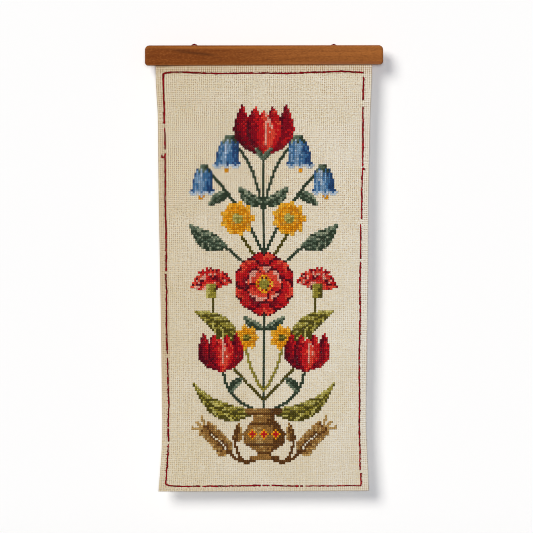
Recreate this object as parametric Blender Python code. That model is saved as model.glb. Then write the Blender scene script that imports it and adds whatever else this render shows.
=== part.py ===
# Cross-stitch wall scroll: a hemmed cloth panel that hangs from one wooden bar.
#
# The origin is the centre of the bar's back face, the face that lies flat on the wall.
# +Z is up, +Y points into the wall, and +X is to the right of someone facing the cloth.
# Every length is in metres, except the columns of a table whose names end in _mm.

import math

import bmesh
import bpy
import numpy as np

# Bar, whose edges rise a little towards the right end
BAR_LENGTH = 0.2668
BAR_HEIGHT = 0.0230
BAR_DEPTH = 0.0120
BAR_TOP_CORNER = 0.0050
BAR_FOOT_CORNER = 0.0036
BAR_BACK_CHAMFER = 0.0005
BAR_FRONT_Y = -BAR_DEPTH
BAR_TOP_Z = BAR_HEIGHT / 2
BAR_FOOT_Z = -BAR_HEIGHT / 2
BAR_TOP_RISE = 0.0003
BAR_FOOT_RISE = 0.0012

# Rounding of the bar's front: how deep it is, and how far it draws the outline in
ROUNDING_DEPTH = 0.0024
ROUNDING_AT_ENDS = 0.0020
ROUNDING_AT_TOP = 0.0024
ROUNDING_AT_FOOT = 0.0008

# Cloth: two layers where it is turned under, one layer elsewhere
FIELD_THICKNESS = 0.0012
HEM_THICKNESS = 0.0020
HEM_TOP = 0.0092
HEM_LEFT = 0.0100
HEM_RIGHT = 0.0090
HEM_BOTTOM = 0.0064
HEM_STEP = 0.0004
CLOTH_DROP = 0.4767
BOTTOM_EDGE_RISE = 0.0009
CLOTH_FRONT_Y = -0.0096

# Groove in the bar's underside, where the cloth's top edge is held
GAP = 0.0003
GROOVE_DEPTH = 0.0090
GROOVE_LENGTH = 0.2470
GROOVE_WIDTH = HEM_THICKNESS + 2 * GAP
CLOTH_IN_GROOVE = GROOVE_DEPTH - GAP

# Yarn loops, each in a notch in the bar's back: two straight legs under half an ellipse
YARN_DIAMETER = 0.0018
LOOP_SPAN = 0.0782
LOOP_HALF_WIDTH = 0.0038
LOOP_ARCH_HEIGHT = 0.0080
LOOP_Y = -0.0021
NOTCH_WIDTH = 0.0135
NOTCH_HEIGHT = 0.0130
NOTCH_DEPTH = 0.0042
NOTCH_CORNER = 0.0022
NOTCH_FOOT_Z = BAR_TOP_Z - NOTCH_HEIGHT
CUTTER_MARGIN = 0.0020

# How far each loop's yarn stands above the bar's top edge
LOOPS = (
    # name, centre_x, proud
    ("hanging_loop_left", -LOOP_SPAN, 0.0018),
    ("hanging_loop_right", LOOP_SPAN, 0.0014),
)

# The cloth as it hangs, one row for each level below the bar's underside. left and right
# are the edges' distances from the bar's centre, forward moves the whole level towards the
# viewer, wave is the height of the ripple across it, and the curls turn its edges forward.
LEVEL_COLUMNS = (
    "drop_mm", "left_mm", "right_mm", "forward_mm", "wave_mm", "left_curl_mm", "right_curl_mm",
)
LEVELS = (
    (-10.0, 121.2, 120.6, 0.0, 0.0, 0.0, 0.0),
    (3.0, 121.2, 120.6, 0.0, 0.0, 0.0, 0.0),
    (28.0, 120.4, 119.9, 0.1, 0.2, -0.1, 0.0),
    (50.2, 119.0, 118.9, 0.3, 0.4, -0.2, -0.1),
    (95.0, 118.3, 117.8, 0.6, 0.5, -0.3, -0.3),
    (139.8, 117.8, 116.8, 0.8, 0.6, -0.4, -0.4),
    (229.4, 116.2, 116.1, 0.9, 0.7, -0.4, -0.6),
    (319.0, 114.8, 114.8, 0.6, 0.6, -0.6, -0.8),
    (386.2, 114.0, 114.0, 0.2, 0.5, -0.9, -1.0),
    (408.6, 113.8, 114.1, 0.1, 0.4, -0.8, -0.8),
    (431.0, 114.5, 115.1, 0.2, 0.4, -0.3, -0.4),
    (453.4, 116.0, 116.1, 0.5, 0.3, 0.4, 0.2),
    (478.0, 118.0, 117.0, 0.9, 0.3, 1.0, 0.7),
)
WAVES_ACROSS = 1.35
WAVE_START = 0.12
CURL_REACH = 0.22

# Mesh fineness
BAR_CORNER_SEGMENTS = 5
BAR_ROUNDING_SEGMENTS = 4
NOTCH_CORNER_SEGMENTS = 3
FIELD_COLUMNS = 22
FIELD_ROWS = 42
ARCH_SEGMENTS = 14
YARN_SIDES_LEVEL = 2

# Materials: name, colour, roughness
TEAK = ("teak_wood", (0.300, 0.110, 0.035), 0.42)
LINEN = ("ivory_aida", (0.680, 0.600, 0.450), 0.90)
YARN = ("dark_red_yarn", (0.110, 0.006, 0.006), 0.85)

MM = 0.001


def clear_scene():
    for old in list(bpy.data.objects):
        bpy.data.objects.remove(old, do_unlink=True)


def principled(name, colour, roughness):
    material = bpy.data.materials.new(name)
    material.use_nodes = True
    shader = material.node_tree.nodes["Principled BSDF"]
    shader.inputs["Base Color"].default_value = (*colour, 1.0)
    shader.inputs["Roughness"].default_value = roughness
    shader.inputs["Metallic"].default_value = 0.0
    return material


def add_object(name, data):
    thing = bpy.data.objects.new(name, data)
    bpy.context.scene.collection.objects.link(thing)
    return thing


def object_from_bmesh(name, bm):
    bmesh.ops.recalc_face_normals(bm, faces=bm.faces)
    mesh = bpy.data.meshes.new(name)
    bm.to_mesh(mesh)
    bm.free()
    return add_object(name, mesh)


def block(size, centre):
    """A bmesh box of that size about that centre."""
    bm = bmesh.new()
    bmesh.ops.create_cube(bm, size=1.0)
    bmesh.ops.scale(bm, vec=size, verts=bm.verts)
    bmesh.ops.translate(bm, vec=centre, verts=bm.verts)
    return bm


def runs_along_y(edge):
    first, second = edge.verts
    return abs(first.co.y - second.co.y) > 0.5 * abs((first.co - second.co).length)


# Bar


def bar_outline(y, at_ends, at_top, at_foot):
    """Points once round the bar at that y, drawn in that far at its ends, top and foot."""
    points = []
    for side_x, side_z, start in ((1, 1, 0), (-1, 1, 90), (-1, -1, 180), (1, -1, 270)):
        if side_z > 0:
            edge_z, radius, drawn_in = BAR_TOP_Z, BAR_TOP_CORNER, at_top
        else:
            edge_z, radius, drawn_in = BAR_FOOT_Z, BAR_FOOT_CORNER, at_foot
        for step in range(BAR_CORNER_SEGMENTS + 1):
            turn = math.radians(start + 90 * step / BAR_CORNER_SEGMENTS)
            x = side_x * (BAR_LENGTH / 2 - radius) + (radius - at_ends) * math.cos(turn)
            z = edge_z - side_z * radius + (radius - drawn_in) * math.sin(turn)
            share = x / BAR_LENGTH + 0.5
            rise = BAR_FOOT_RISE * share if side_z < 0 else -BAR_TOP_RISE * (1 - share)
            points.append((x, y, z + rise))
    return points


def bar_body():
    """The bar without its cuts: outlines from its back to its front, joined in turn."""
    outlines = [
        bar_outline(0.0, BAR_BACK_CHAMFER, BAR_BACK_CHAMFER, BAR_BACK_CHAMFER),
        bar_outline(-BAR_BACK_CHAMFER, 0.0, 0.0, 0.0),
    ]
    for step in range(BAR_ROUNDING_SEGMENTS + 1):
        turn = math.pi / 2 * step / BAR_ROUNDING_SEGMENTS
        y = BAR_FRONT_Y + ROUNDING_DEPTH * (1 - math.sin(turn))
        share = 1 - math.cos(turn)
        outlines.append(bar_outline(
            y, ROUNDING_AT_ENDS * share, ROUNDING_AT_TOP * share, ROUNDING_AT_FOOT * share,
        ))
    bm = bmesh.new()
    rings = [[bm.verts.new(point) for point in outline] for outline in outlines]
    for ring, following in zip(rings, rings[1:]):
        for number in range(len(ring)):
            bm.faces.new((ring[number - 1], ring[number], following[number], following[number - 1]))
    bm.faces.new(rings[0])
    bm.faces.new(rings[-1])
    return object_from_bmesh("hanger_bar", bm)


def groove_cutter():
    height = GROOVE_DEPTH + CUTTER_MARGIN
    centre_z = BAR_FOOT_Z + GROOVE_DEPTH - height / 2
    centre_y = CLOTH_FRONT_Y + HEM_THICKNESS / 2
    bm = block((GROOVE_LENGTH, GROOVE_WIDTH, height), (0.0, centre_y, centre_z))
    return object_from_bmesh("groove_cutter", bm)


def notch_cutter(name, centre_x):
    height = NOTCH_HEIGHT + CUTTER_MARGIN
    depth = NOTCH_DEPTH + CUTTER_MARGIN
    centre = (centre_x, CUTTER_MARGIN - depth / 2, NOTCH_FOOT_Z + height / 2)
    bm = block((NOTCH_WIDTH, depth, height), centre)
    foot_corners = [
        edge for edge in bm.edges
        if runs_along_y(edge) and edge.verts[0].co.z < NOTCH_FOOT_Z + height / 2
    ]
    bmesh.ops.bevel(
        bm, geom=foot_corners, offset=NOTCH_CORNER, offset_type="OFFSET",
        segments=NOTCH_CORNER_SEGMENTS, profile=0.5, affect="EDGES", clamp_overlap=True,
    )
    return object_from_bmesh(name, bm)


def cut(thing, cutter):
    cutter.hide_render = True
    cutter.display_type = "WIRE"
    boolean = thing.modifiers.new(cutter.name, "BOOLEAN")
    boolean.operation = "DIFFERENCE"
    boolean.solver = "EXACT"
    boolean.object = cutter


def hanger_bar():
    bar = bar_body()
    bar.data.materials.append(principled(*TEAK))
    cut(bar, groove_cutter())
    for name, centre_x, _ in LOOPS:
        cut(bar, notch_cutter(name + "_notch", centre_x))
    return bar


# Yarn loops


def arch_points(top_z):
    """A loop's centreline: up one leg, round the arch and down the other leg."""
    centre_z = top_z - YARN_DIAMETER / 2 - LOOP_ARCH_HEIGHT
    foot_z = NOTCH_FOOT_Z + GAP
    arch = [
        (-LOOP_HALF_WIDTH * math.cos(math.pi * step / ARCH_SEGMENTS),
         centre_z + LOOP_ARCH_HEIGHT * math.sin(math.pi * step / ARCH_SEGMENTS))
        for step in range(ARCH_SEGMENTS + 1)
    ]
    middle_z = (foot_z + centre_z) / 2
    rising = [(-LOOP_HALF_WIDTH, foot_z), (-LOOP_HALF_WIDTH, middle_z)]
    falling = [(LOOP_HALF_WIDTH, middle_z), (LOOP_HALF_WIDTH, foot_z)]
    return rising + arch + falling


def hanging_loop(name, centre_x, proud, material):
    curve = bpy.data.curves.new(name, "CURVE")
    curve.dimensions = "3D"
    curve.bevel_depth = YARN_DIAMETER / 2
    curve.bevel_resolution = YARN_SIDES_LEVEL
    curve.use_fill_caps = True
    points = arch_points(BAR_TOP_Z + proud)
    spline = curve.splines.new("POLY")
    spline.points.add(len(points) - 1)
    for point, (x, z) in zip(spline.points, points):
        point.co = (x, 0.0, z, 1.0)
    curve.materials.append(material)
    loop = add_object(name, curve)
    loop.location = (centre_x, LOOP_Y, 0.0)
    return loop


# Cloth


def level_at(drop, column):
    """One column of LEVELS at that drop, on a smooth curve through the table's rows."""
    index = LEVEL_COLUMNS.index(column)
    drops = np.array([level[0] for level in LEVELS]) * MM
    values = np.array([level[index] for level in LEVELS]) * MM
    slopes = np.gradient(values, drops)
    row = int(np.clip(np.searchsorted(drops, drop) - 1, 0, len(drops) - 2))
    span = drops[row + 1] - drops[row]
    t = (drop - drops[row]) / span
    return float(
        (1 + 2 * t) * (1 - t) ** 2 * values[row]
        + t * (1 - t) ** 2 * span * slopes[row]
        + t * t * (3 - 2 * t) * values[row + 1]
        - t * t * (1 - t) * span * slopes[row + 1]
    )


def forward_of(share, drop):
    """How far the cloth stands towards the viewer, at that share of its width from the left."""
    wave = level_at(drop, "wave_mm") * math.sin(math.tau * (WAVES_ACROSS * share + WAVE_START))
    left_edge = max(0.0, 1 - share / CURL_REACH) ** 2
    right_edge = max(0.0, 1 - (1 - share) / CURL_REACH) ** 2
    curl = (
        left_edge * level_at(drop, "left_curl_mm") + right_edge * level_at(drop, "right_curl_mm")
    )
    return level_at(drop, "forward_mm") + wave + curl


def spread(first, last, count, before, after):
    """Places from 0 to the end, with even ones between first and last and a pair at each hem."""
    even = np.linspace(first, last, count + 1)
    return [*before, *even, *after]


def cloth_columns(width):
    """Distances from the cloth's left edge, with a pair of columns where each hem ends."""
    return spread(
        HEM_LEFT + HEM_STEP / 2, width - HEM_RIGHT - HEM_STEP / 2, FIELD_COLUMNS,
        (0.0, HEM_LEFT - HEM_STEP / 2), (width - HEM_RIGHT + HEM_STEP / 2, width),
    )


def cloth_rows():
    """Drops below the bar's underside, with a pair of rows where each hem ends."""
    return spread(
        HEM_TOP + HEM_STEP / 2, CLOTH_DROP - HEM_BOTTOM - HEM_STEP / 2, FIELD_ROWS,
        (-CLOTH_IN_GROOVE, 0.0, HEM_TOP - HEM_STEP / 2),
        (CLOTH_DROP - HEM_BOTTOM + HEM_STEP / 2, CLOTH_DROP),
    )


def in_field(across, width, drop):
    """True where the cloth is one layer thick, so not in a hem."""
    return (
        HEM_LEFT < across < width - HEM_RIGHT
        and HEM_TOP < drop < CLOTH_DROP - HEM_BOTTOM
    )


def cloth_panel():
    bm = bmesh.new()
    front, back = [], []
    for drop in cloth_rows():
        left = -level_at(drop, "left_mm")
        width = level_at(drop, "right_mm") - left
        fall = max(0.0, drop / CLOTH_DROP)
        front_row, back_row = [], []
        for across in cloth_columns(width):
            share = across / width
            x = left + across
            z = BAR_FOOT_Z - drop + BOTTOM_EDGE_RISE * share * share * fall
            y = CLOTH_FRONT_Y - forward_of(share, drop)
            thickness = FIELD_THICKNESS if in_field(across, width, drop) else HEM_THICKNESS
            front_row.append(bm.verts.new((x, y, z)))
            back_row.append(bm.verts.new((x, y + thickness, z)))
        front.append(front_row)
        back.append(back_row)
    rows, columns = len(front), len(front[0])
    for layer in (front, back):
        for row in range(rows - 1):
            for column in range(columns - 1):
                bm.faces.new((
                    layer[row][column], layer[row][column + 1],
                    layer[row + 1][column + 1], layer[row + 1][column],
                ))
    rim = [(0, column) for column in range(columns)]
    rim += [(row, columns - 1) for row in range(1, rows)]
    rim += [(rows - 1, column) for column in range(columns - 2, -1, -1)]
    rim += [(row, 0) for row in range(rows - 2, 0, -1)]
    for (row, column), (next_row, next_column) in zip(rim, rim[1:] + rim[:1]):
        bm.faces.new((
            front[row][column], front[next_row][next_column],
            back[next_row][next_column], back[row][column],
        ))
    cloth = object_from_bmesh("cloth_panel", bm)
    cloth.data.materials.append(principled(*LINEN))
    cloth.data.shade_smooth()
    cloth.data.set_sharp_from_angle(angle=math.radians(40))
    return cloth


clear_scene()
hanger_bar()
cloth_panel()
yarn = principled(*YARN)
for loop_name, loop_x, loop_proud in LOOPS:
    hanging_loop(loop_name, loop_x, loop_proud, yarn)
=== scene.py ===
import math

import bmesh
import bpy
import numpy as np
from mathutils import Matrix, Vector


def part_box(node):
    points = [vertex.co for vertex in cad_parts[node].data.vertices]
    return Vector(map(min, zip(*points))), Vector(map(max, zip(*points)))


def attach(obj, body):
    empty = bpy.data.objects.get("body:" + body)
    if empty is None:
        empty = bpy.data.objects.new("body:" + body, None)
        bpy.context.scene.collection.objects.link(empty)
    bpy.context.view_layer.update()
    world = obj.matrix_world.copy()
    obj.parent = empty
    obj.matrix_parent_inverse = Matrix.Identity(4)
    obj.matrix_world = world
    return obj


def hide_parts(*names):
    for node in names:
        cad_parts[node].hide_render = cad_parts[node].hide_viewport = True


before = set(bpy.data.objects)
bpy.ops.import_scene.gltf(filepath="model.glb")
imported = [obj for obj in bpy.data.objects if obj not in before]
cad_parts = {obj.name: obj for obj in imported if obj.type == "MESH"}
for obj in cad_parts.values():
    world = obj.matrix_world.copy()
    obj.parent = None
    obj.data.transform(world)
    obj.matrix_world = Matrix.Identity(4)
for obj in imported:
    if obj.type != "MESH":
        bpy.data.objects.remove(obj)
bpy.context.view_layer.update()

BODY = "root"
MM = 0.001

# Frame and photograph

BAR_LOW, BAR_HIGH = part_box("hanger_bar")
BAR_LENGTH = BAR_HIGH.x - BAR_LOW.x
BAR_FOOT_Z = BAR_LOW.z
CLOTH_LOW, CLOTH_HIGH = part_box("cloth_panel")
CLOTH_WIDTH = CLOTH_HIGH.x - CLOTH_LOW.x

PHOTO_SIDE = 533
PHOTO_MIDDLE = PHOTO_SIDE / 2
PHOTO_M_PER_PX = 0.00112
PHOTO_BAR_MIDDLE_X = 264.05
PHOTO_BAR_FOOT_Y = 65.55

CAMERA_DISTANCE = 6.0
CAMERA_X = (PHOTO_MIDDLE - PHOTO_BAR_MIDDLE_X) * PHOTO_M_PER_PX
CAMERA_Z = BAR_FOOT_Z - (PHOTO_MIDDLE - PHOTO_BAR_FOOT_Y) * PHOTO_M_PER_PX

# Cloth: the same levels as the solid that it replaces, so that it hangs in the same shape

CLOTH_FRONT_Y = -0.0096
CLOTH_DROP = 0.4767
BOTTOM_EDGE_RISE = 0.0009
HEM_TOP = 0.0092
HEM_LEFT = 0.01
HEM_RIGHT = 0.009
HEM_BOTTOM = 0.0064
WAVES_ACROSS = 1.35
WAVE_START = 0.12
CURL_REACH = 0.22
LEVEL_COLUMNS = (
    "drop_mm", "left_mm", "right_mm", "forward_mm", "wave_mm", "left_curl_mm", "right_curl_mm",
)
LEVELS = (
    (-10, 121.2, 120.6, 0, 0, 0, 0),
    (3, 121.2, 120.6, 0, 0, 0, 0),
    (28, 120.4, 119.9, 0.1, 0.2, -0.1, 0),
    (50.2, 119, 118.9, 0.3, 0.4, -0.2, -0.1),
    (95, 118.3, 117.8, 0.6, 0.5, -0.3, -0.3),
    (139.8, 117.8, 116.8, 0.8, 0.6, -0.4, -0.4),
    (229.4, 116.2, 116.1, 0.9, 0.7, -0.4, -0.6),
    (319, 114.8, 114.8, 0.6, 0.6, -0.6, -0.8),
    (386.2, 114, 114, 0.2, 0.5, -0.9, -1),
    (408.6, 113.8, 114.1, 0.1, 0.4, -0.8, -0.8),
    (431, 114.5, 115.1, 0.2, 0.4, -0.3, -0.4),
    (453.4, 116, 116.1, 0.5, 0.3, 0.4, 0.2),
    (478, 118, 117, 0.9, 0.3, 1, 0.7),
)

# Weave: one square of the cloth is one cross-stitch

SQUARES_ACROSS = 105
SQUARES_DOWN = 207
SQUARES_IN_GROOVE = 3
SQUARE_HEIGHT = CLOTH_DROP / SQUARES_DOWN
DRIFT = (0.16, 0.061, 1.3)  # squares, pace and start of a slow wave in the columns of holes
SAG = (0.22, 0.083, 0.4)  # the same in their rows
WEAVE_SEED = 4
HOLE_DEPTH = 0.00014
HEM_HOLE_SHARE = 0.4
PILLOW_HEIGHT = 0.00006
FIELD_THICKNESS = 0.0009
HEM_THICKNESS = 0.0018
HEM_STEP_SQUARES = 0.06
HEM_COLUMNS = (
    HEM_LEFT / CLOTH_WIDTH * SQUARES_ACROSS,
    SQUARES_ACROSS - HEM_RIGHT / CLOTH_WIDTH * SQUARES_ACROSS,
)
HEM_ROWS = (HEM_TOP / SQUARE_HEIGHT, SQUARES_DOWN - HEM_BOTTOM / SQUARE_HEIGHT)
HEM_BLUR_SQUARES = 0.3
FOLD_BULGE = 0.0003
FOLD_STEPS = 4
AIDA_TINT_LEFT = (0.915, 0.92, 0.905)
AIDA_TINT_RIGHT = (0.995, 1.05, 1.145)
AIDA_TINT_LOW = (0.982, 0.988, 1.0)

# Bar, with the groove that holds the cloth and the notches for the loops

BAR_TOP_RISE = 0.0003
BAR_TOP_LOWERED = 0.00011
BAR_FOOT_RISE = 0.0014
BAR_TOP_CORNER = 0.005
BAR_FOOT_CORNER = 0.0036
BAR_CORNER_SEGMENTS = 10
BAR_BACK_CHAMFER = 0.0005
ROUNDING_DEPTH = 0.0024
ROUNDING_AT_ENDS = 0.002
ROUNDING_AT_TOP = 0.0024
ROUNDING_AT_FOOT = 0.0008
ROUNDING_SEGMENTS = 8
CUTTER_MARGIN = 0.004
GROOVE_DEPTH = 0.009
GROOVE_LENGTH = 0.247
GROOVE_WIDTH = 0.0026
GROOVE_MIDDLE_Y = -0.0086
NOTCH_WIDTH = 0.0135
NOTCH_HEIGHT = 0.013
NOTCH_DEPTH = 0.0042
NOTCH_CORNER = 0.0022
NOTCH_CORNER_SEGMENTS = 4
NOTCH_FOOT_Z = -0.0015
SAME_PLACE = 0.00001
SHARP_DEGREES = 35
# Where the painted highlight and wear below the bar's top edge starts, and where it is full
HIGHLIGHT_AND_WEAR_FOOT_Z = BAR_HIGH.z - 0.0056
HIGHLIGHT_AND_WEAR_FULL_Z = BAR_HIGH.z - 0.002
STREAK_START = (-0.108, 0.0058)
STREAK_END = (-0.06, 0.0004)

# Yarn loops

LOOPS = (
    # side, centre x, how far the yarn stands above the bar
    ("left", -0.0782, 0.0018),
    ("right", 0.0782, 0.0016),
)
YARN_DIAMETER = 0.0018
LOOP_HALF_WIDTH = 0.0038
LOOP_ARCH_HEIGHT = 0.008
ARCH_POWER = 0.5
ARCH_STEPS = 60
LOOP_Y = -0.0021
LOOP_FOOT_Z = -0.0012
LOOP_STEPS = 90
LOOP_SHADE = 0.6
PLY_SIDES = 10
PLY_RADIUS = 0.0006
PLY_PITCH = 0.0052

# Stitches: the flat strands of a cross, the short ones on the back and the border's round ones

STRAND_HALF_WIDTH = 0.00072
STRAND_THICKNESS = 0.00034
UNDER_LIFT = 0.00016
OVER_LIFT = 0.00048
BACK_HALF_WIDTH = 0.0008
BACK_THICKNESS = 0.0003
BACK_LIFT = 0.0001
UV_PER_MM = 0.5
STITCH_SEED = 23
FLAT_RING = np.array([(-1.0, 0.0), (-0.55, 1.0), (0.55, 1.0), (1.0, 0.0)])
ROUND_RING = np.array([
    (math.cos(math.radians(angle)), 0.5 + 0.5 * math.sin(math.radians(angle)))
    for angle in range(180, -180, -60)
])
STATIONS = np.array([0.0, 0.24, 0.5, 0.76, 1.0])
ARCH = np.array([-0.55, 0.62, 1.0, 0.62, -0.55])
FLAT_STRAND = (FLAT_RING, STATIONS, ARCH, np.array([0.72, 1.0, 1.04, 1.0, 0.72]))
ROUND_STRAND = (ROUND_RING, STATIONS, ARCH, np.array([0.82, 1.0, 1.06, 1.0, 0.84]))
SHORT_STRAND = (
    FLAT_RING, np.array([0.0, 0.5, 1.0]), np.array([-0.4, 1.0, -0.4]), np.array([0.8, 1.0, 0.8]),
)
# Painted light along each cross's strands: shade at the ends, where they go into the holes, and a
# highlight at the middle; the under strand is in painted shade too
END_SHADE = np.array([0.5, 0.98, 1.2, 0.98, 0.5])
UNDER_SHADE = 0.88
BACK_SHADE = 0.95
COVERED_SHADE = 0.5

# Stage and light

STAGE_SIZE = 6.0
WALL_Y = 0.0161
FLOOR_Z = -0.75
WALL_COLOUR = (0.9, 0.9, 0.9)
SUNS = (
    # name, the way its light travels, strength, spread in degrees, colour
    ("key_light", (0.55, 1.0, -0.525), 2.23, 27, (1.03, 1.0, 0.945)),
    ("fill_light", (-0.02, 1.0, -0.02), 1.25, 12, (0.975, 1.0, 1.07)),
    ("rear_light", (-0.5, -1.0, -0.7), 1.0, 40, (1.0, 1.0, 1.0)),
)
WORLD_STRENGTH = 0.13
SENSOR_MM = 36.0

# Chart: its squares, its place on the cloth and its thread colours

CHART_HALF_WIDTH = 38
CHART_ROWS = 178
CHART_TOP_SQUARE = 16
CHART_SEED = 11
BLANK = -1
THREADS = {
    # name: red, green, blue as the eye sees them
    "crimson_deep": (86, 8, 26), "crimson": (134, 10, 28), "scarlet": (194, 24, 30),
    "coral": (222, 72, 52), "rose": (226, 160, 140),
    "navy": (38, 70, 114), "blue": (66, 112, 156), "sky": (124, 158, 188),
    "pale_blue": (180, 194, 208),
    "amber": (210, 132, 12), "gold": (230, 154, 20), "straw": (236, 176, 52),
    "bottle_green": (50, 64, 48), "blue_green": (92, 108, 88), "sage": (142, 150, 124),
    "olive_dark": (82, 74, 24), "olive": (146, 134, 50), "moss_light": (188, 178, 98),
    "umber": (96, 60, 26), "brown": (150, 108, 54), "tan": (188, 152, 92),
}
THREAD = {name: number for number, name in enumerate(THREADS)}
REDS = ("crimson_deep", "crimson", "scarlet", "coral")
BLUSH = ("crimson", "scarlet", "coral", "rose")
BLUES = ("navy", "blue", "sky", "pale_blue")
GOLDS = ("amber", "gold", "straw")
DEEP_GREENS = ("bottle_green", "blue_green", "sage")
OLIVES = ("olive_dark", "olive", "moss_light")
BROWNS = ("umber", "brown", "tan")
STITCH_PIECES = {
    "stitching_red": REDS + ("rose",),
    "stitching_blue": BLUES,
    "stitching_gold": GOLDS,
    "stitching_deep_green": DEEP_GREENS,
    "stitching_olive": OLIVES,
    "stitching_brown": BROWNS,
}

# Border line, by the photograph's pixels: each run is one unbroken length of stitching

BORDER_COLOUR = (136, 16, 24)
BORDER_SPECULAR = 0.04
BORDER_RUNS = (
    # side, fullness, tone, points as (photo_x, photo_y)
    ("top", 0.93, 0.72, (
        (163.2, 73.9), (167, 72.9), (171, 72.4), (183.6, 72), (201.4, 73), (219.3, 73.6),
        (243.4, 73.2), (269, 73.1),
    )),
    ("top", 1.02, 0.71, ((269, 73.1), (287, 73.4), (306, 72.6), (326, 72.1), (342, 71.2))),
    ("top", 1.11, 0.7, ((342, 71.2), (352, 71.8), (363.4, 72.5))),
    ("right", 1.15, 1, ((363.4, 76.9), (363.5, 80), (363.2, 88), (362.9, 99.8))),
    ("right", 1.06, 1.04, ((362.9, 106.9), (363, 133), (362.6, 166.5))),
    ("right", 0.95, 1, (
        (364.4, 169.4), (362.5, 167), (362.2, 175), (361.9, 185.7), (361.6, 219),
    )),
    ("right", 0.79, 0.96, ((360.6, 224), (360.6, 232), (360.5, 258.7))),
    ("right", 1, 0.95, (
        (360.3, 261.6), (359.8, 287.4), (360.1, 316), (359.5, 344.8), (359, 370),
        (359.5, 392), (359.5, 408), (359.1, 424), (359.7, 441), (360.1, 470),
    )),
    ("right", 0.95, 0.95, ((360.7, 473.3), (361, 479), (360.9, 485.2))),
    ("bottom", 0.72, 0.9, ((360.9, 485.4), (343, 485.7), (326.5, 485.9), (305.5, 485.8))),
    ("bottom", 0.9, 0.9, ((302.8, 486), (299.9, 486))),
    ("bottom", 0.9, 0.9, ((298.8, 486), (283.5, 485.8), (271.5, 485.3))),
    ("bottom", 0.9, 0.9, ((269.5, 485.4), (262.6, 485.3))),
    ("bottom", 0.88, 0.86, ((260.6, 485.3), (239.3, 485.8), (220, 486), (202.7, 486.2))),
    ("bottom", 0.86, 0.84, (
        (200, 486.2), (188, 486.3), (176.8, 486.2), (170, 485.6), (165.6, 484.3),
    )),
    ("left", 1.18, 0.94, ((163.1, 74), (163.8, 92.5), (164.4, 123.8))),
    ("left", 0.98, 0.93, ((164.8, 128.2), (165.1, 140), (165, 149.4))),
    ("left", 1, 0.95, ((161.5, 154.9), (162.3, 157.6))),
    ("left", 1, 0.95, ((162, 157.2), (163.2, 157.9), (165, 157.2))),
    ("left", 1, 0.95, ((164.7, 157), (165.3, 153.2))),
    ("left", 0.99, 0.82, (
        (165, 157), (165.2, 175), (165.2, 205), (165.9, 222), (166.2, 240), (166.4, 271),
    )),
    ("left", 1.01, 0.62, ((165.9, 274), (166.6, 289), (166.5, 319), (167.3, 354))),
    ("left", 0.95, 0.72, ((167.4, 357.7), (167.9, 370), (168.3, 394), (169, 405.7), (168, 427))),
    ("left", 1, 0.85, ((168.3, 428.8), (168.5, 441.4))),
    ("left", 0.96, 0.88, ((168.3, 444), (167, 468), (165.6, 484.3))),
)
BORDER_OUTWARD = {"top": (0, 0, 1), "bottom": (0, 0, -1), "left": (-1, 0, 0), "right": (1, 0, 0)}
BORDER_STITCH = 0.0044
BORDER_HALF_WIDTH = 0.0009
BORDER_THICKNESS = 0.00023
BORDER_LIFT = 0.00004
BORDER_OVERLAP = 0.07
# Painted light along each border stitch: shade at its ends and a highlight at its middle
BORDER_SHADE = np.array([0.4, 1.0, 1.3, 1.0, 0.4])
BORDER_SEED = 31
KNOT_SHARE = 0.55
KNOT_SHADE = 0.85
KNOT_HALF_WIDTH = 0.00064
KNOT_THICKNESS = BORDER_THICKNESS * 0.9
KNOT_LIFT = BORDER_LIFT * 2
KNOT_REACH = 0.00125
KNOT_PLACES = (-0.05, 0.25)
KNOT_SLANT = 0.16

# What varies by chance: its spread, its lowest and highest value, and its middle

UNEVEN = {
    "thread_line": (0.07, -0.16, 0.16, 0),
    "stitch_hole": (0.035, -0.08, 0.08, 0),
    "strand_width": (0.07, 0.85, 1.15, 1),
    "strand_lift": (0.12, 0.7, 1.3, 1),
    "strand_tint": (0.09, 0.85, 1.29, 1.07),
    "strand_shade": (0.13, 0.7, 1.3, 1),
    "back_width": (0.12, 0.7, 1.3, 1),
    "border_end": (0.00018, -0.0004, 0.0004, 0),
    "border_width": (0.15, 0.78, 1.4, 1),
    "border_lift": (0.2, 0.6, 1.5, 1),
    "border_tone": (0.22, 0.55, 1.5, 1),
    "knot_reach": (0.2, 0.6, 1.5, 1),
}


# Small helpers


def linear(red, green, blue):
    """Display values from 0 to 255 as the linear colour that shows as them."""
    shares = [value / 255 for value in (red, green, blue)]
    return tuple(
        share / 12.92 if share <= 0.04045 else ((share + 0.055) / 1.055) ** 2.4
        for share in shares
    )


def add_object(name, data):
    thing = bpy.data.objects.new(name, data)
    bpy.context.scene.collection.objects.link(thing)
    return thing


def object_from_bmesh(name, bm):
    mesh = bpy.data.meshes.new(name)
    bm.to_mesh(mesh)
    bm.free()
    return add_object(name, mesh)


def enclosed_volume(vertices, faces):
    """Above 0 where the faces point out."""
    return sum(
        (vertices[group[:, 0]] * np.cross(vertices[group[:, k]], vertices[group[:, k + 1]])).sum()
        for group in faces for k in range(1, group.shape[1] - 1)
    )


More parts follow.
